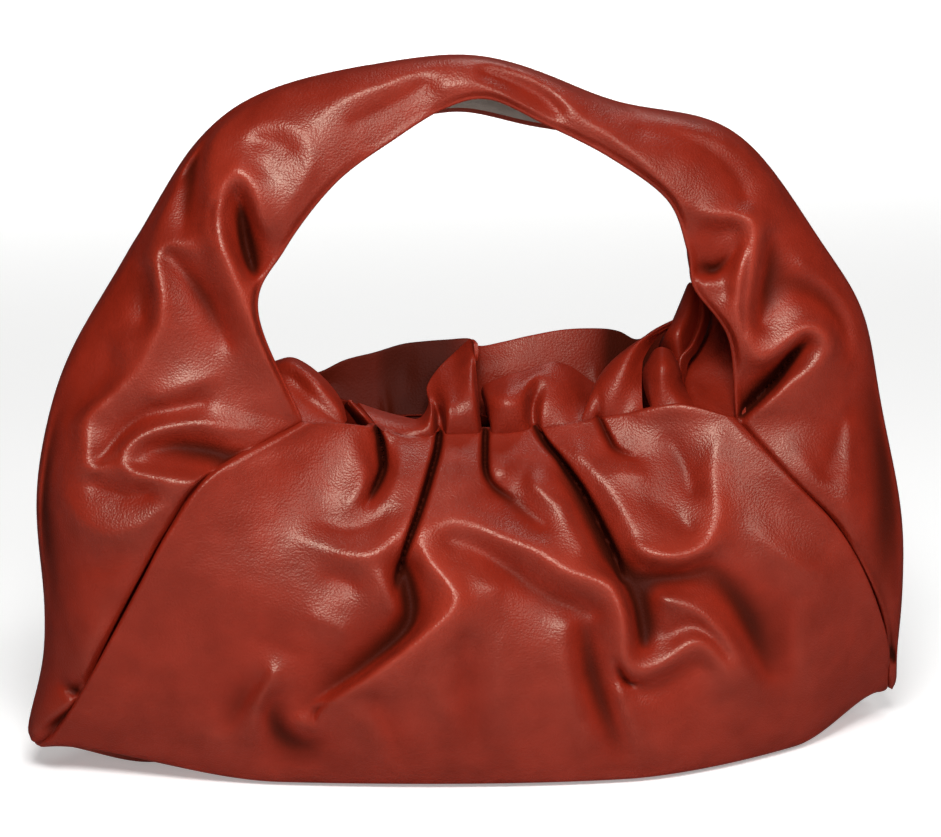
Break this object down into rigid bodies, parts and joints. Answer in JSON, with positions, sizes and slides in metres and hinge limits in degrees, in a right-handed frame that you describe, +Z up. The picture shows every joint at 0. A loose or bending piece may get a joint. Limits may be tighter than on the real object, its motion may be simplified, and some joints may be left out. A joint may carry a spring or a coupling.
{
  "type": "shoulder bag",
  "caption": "Slouchy leather shoulder bag: a gathered pouch with a ruffled mouth, hung in one wide band that makes its side gussets and its shoulder strap.",
  "frame": {"origin": "on the ground under the middle of the bag's box", "axes": "+X along the mouth, to the right as the front is faced; +Y to the back; +Z up"},
  "size_m": [0.4023, 0.1653, 0.3191],
  "materials": {
    "leather": "smooth rust-red calf leather with a soft sheen",
    "suede": "matt grey-brown suede"
  },
  "bodies": {
    "root": {"front_panel": "leather", "back_panel": "leather", "left_gusset": "leather", "strap_left": "leather", "strap_crown": "leather", "strap_right": "leather", "right_gusset": "leather", "strap_lining": "suede", "front_frill": "leather", "back_frill": "leather"}
  },
  "joints": []
}
